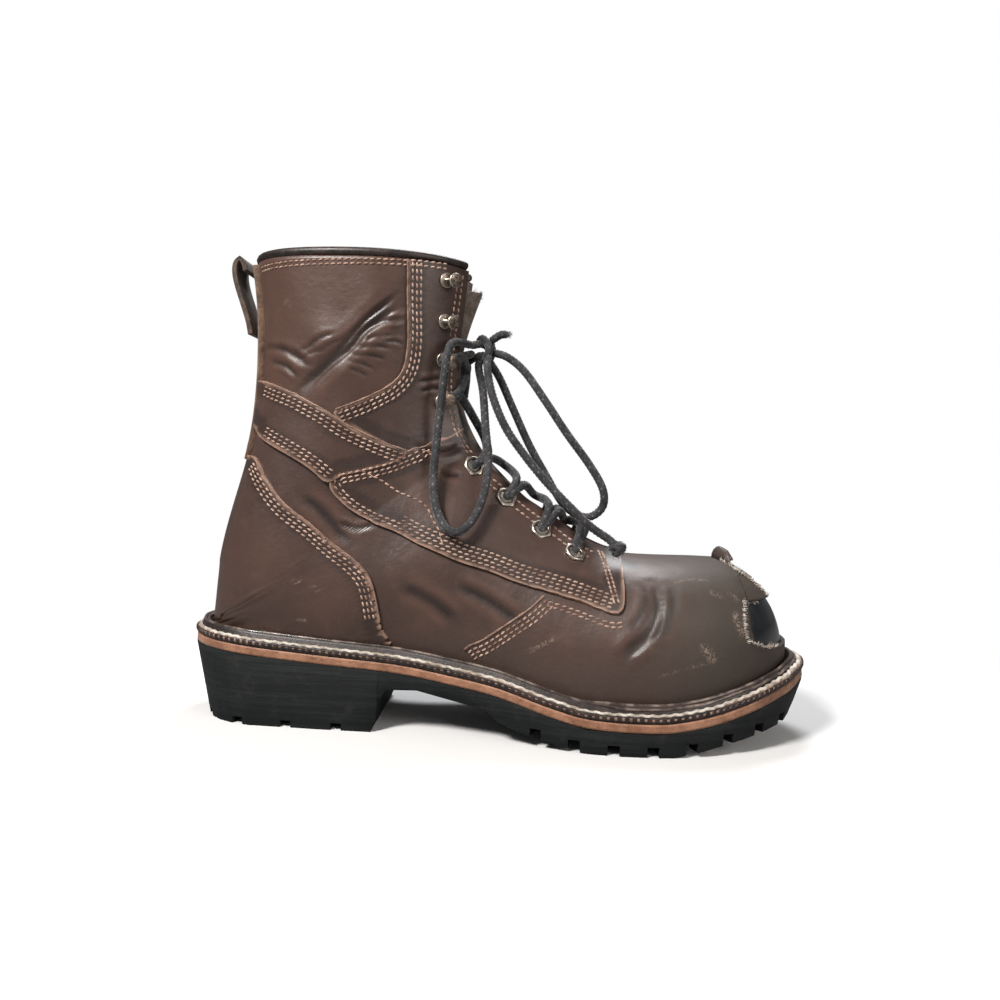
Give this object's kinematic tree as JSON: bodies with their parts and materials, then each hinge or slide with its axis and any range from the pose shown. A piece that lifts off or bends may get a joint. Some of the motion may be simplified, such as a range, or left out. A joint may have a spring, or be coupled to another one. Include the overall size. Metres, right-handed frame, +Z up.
{
  "type": "logger boot",
  "caption": "Worn high leather work boot with a welted lugged sole, high slanted heel, hooks and eyelets, round lace tied in a bow, and a toe torn open over its cap.",
  "frame": {"origin": "on the floor under the middle of the heel's flat underside", "axes": "+X from heel to toe, +Y to the inner side of the foot, +Z up"},
  "size_m": [0.318, 0.1089, 0.2396],
  "materials": {
    "black_rubber": "matt, worn",
    "leather_midsole": "raw edge, tan",
    "dark_leather": "dark, worn",
    "oiled_leather": "oiled, creased",
    "safety_toe": "hard moulded cap",
    "tan_edge": "light suede strip",
    "nickel": "worn plating",
    "black_lace": "round braid"
  },
  "bodies": {
    "root": {"outsole": "black_rubber", "midsole": "leather_midsole", "welt": "dark_leather", "insole": "leather_midsole", "upper": "oiled_leather", "toe_cap": "safety_toe", "tongue": "oiled_leather", "facing_outer": "oiled_leather", "facing_inner": "oiled_leather", "ankle_band_outer": "oiled_leather", "ankle_band_inner": "oiled_leather", "eyestay_outer": "oiled_leather", "eyestay_inner": "oiled_leather", "counter": "oiled_leather", "back_strap": "tan_edge", "hook_outer_1": "nickel", "hook_outer_2": "nickel", "hook_outer_3": "nickel", "hook_outer_4": "nickel", "hook_inner_1": "nickel", "hook_inner_2": "nickel", "hook_inner_3": "nickel", "hook_inner_4": "nickel", "eyelet_outer_1": "nickel", "eyelet_outer_2": "nickel", "eyelet_outer_3": "nickel", "eyelet_outer_4": "nickel", "eyelet_inner_1": "nickel", "eyelet_inner_2": "nickel", "eyelet_inner_3": "nickel", "eyelet_inner_4": "nickel", "collar_binding": "dark_leather", "pull_loop": "dark_leather", "lace_crossings": "black_lace", "lace_knot": "black_lace", "bow_outer": "black_lace", "bow_inner": "black_lace", "lace_end_long": "black_lace", "lace_end_short": "black_lace"}
  },
  "joints": []
}
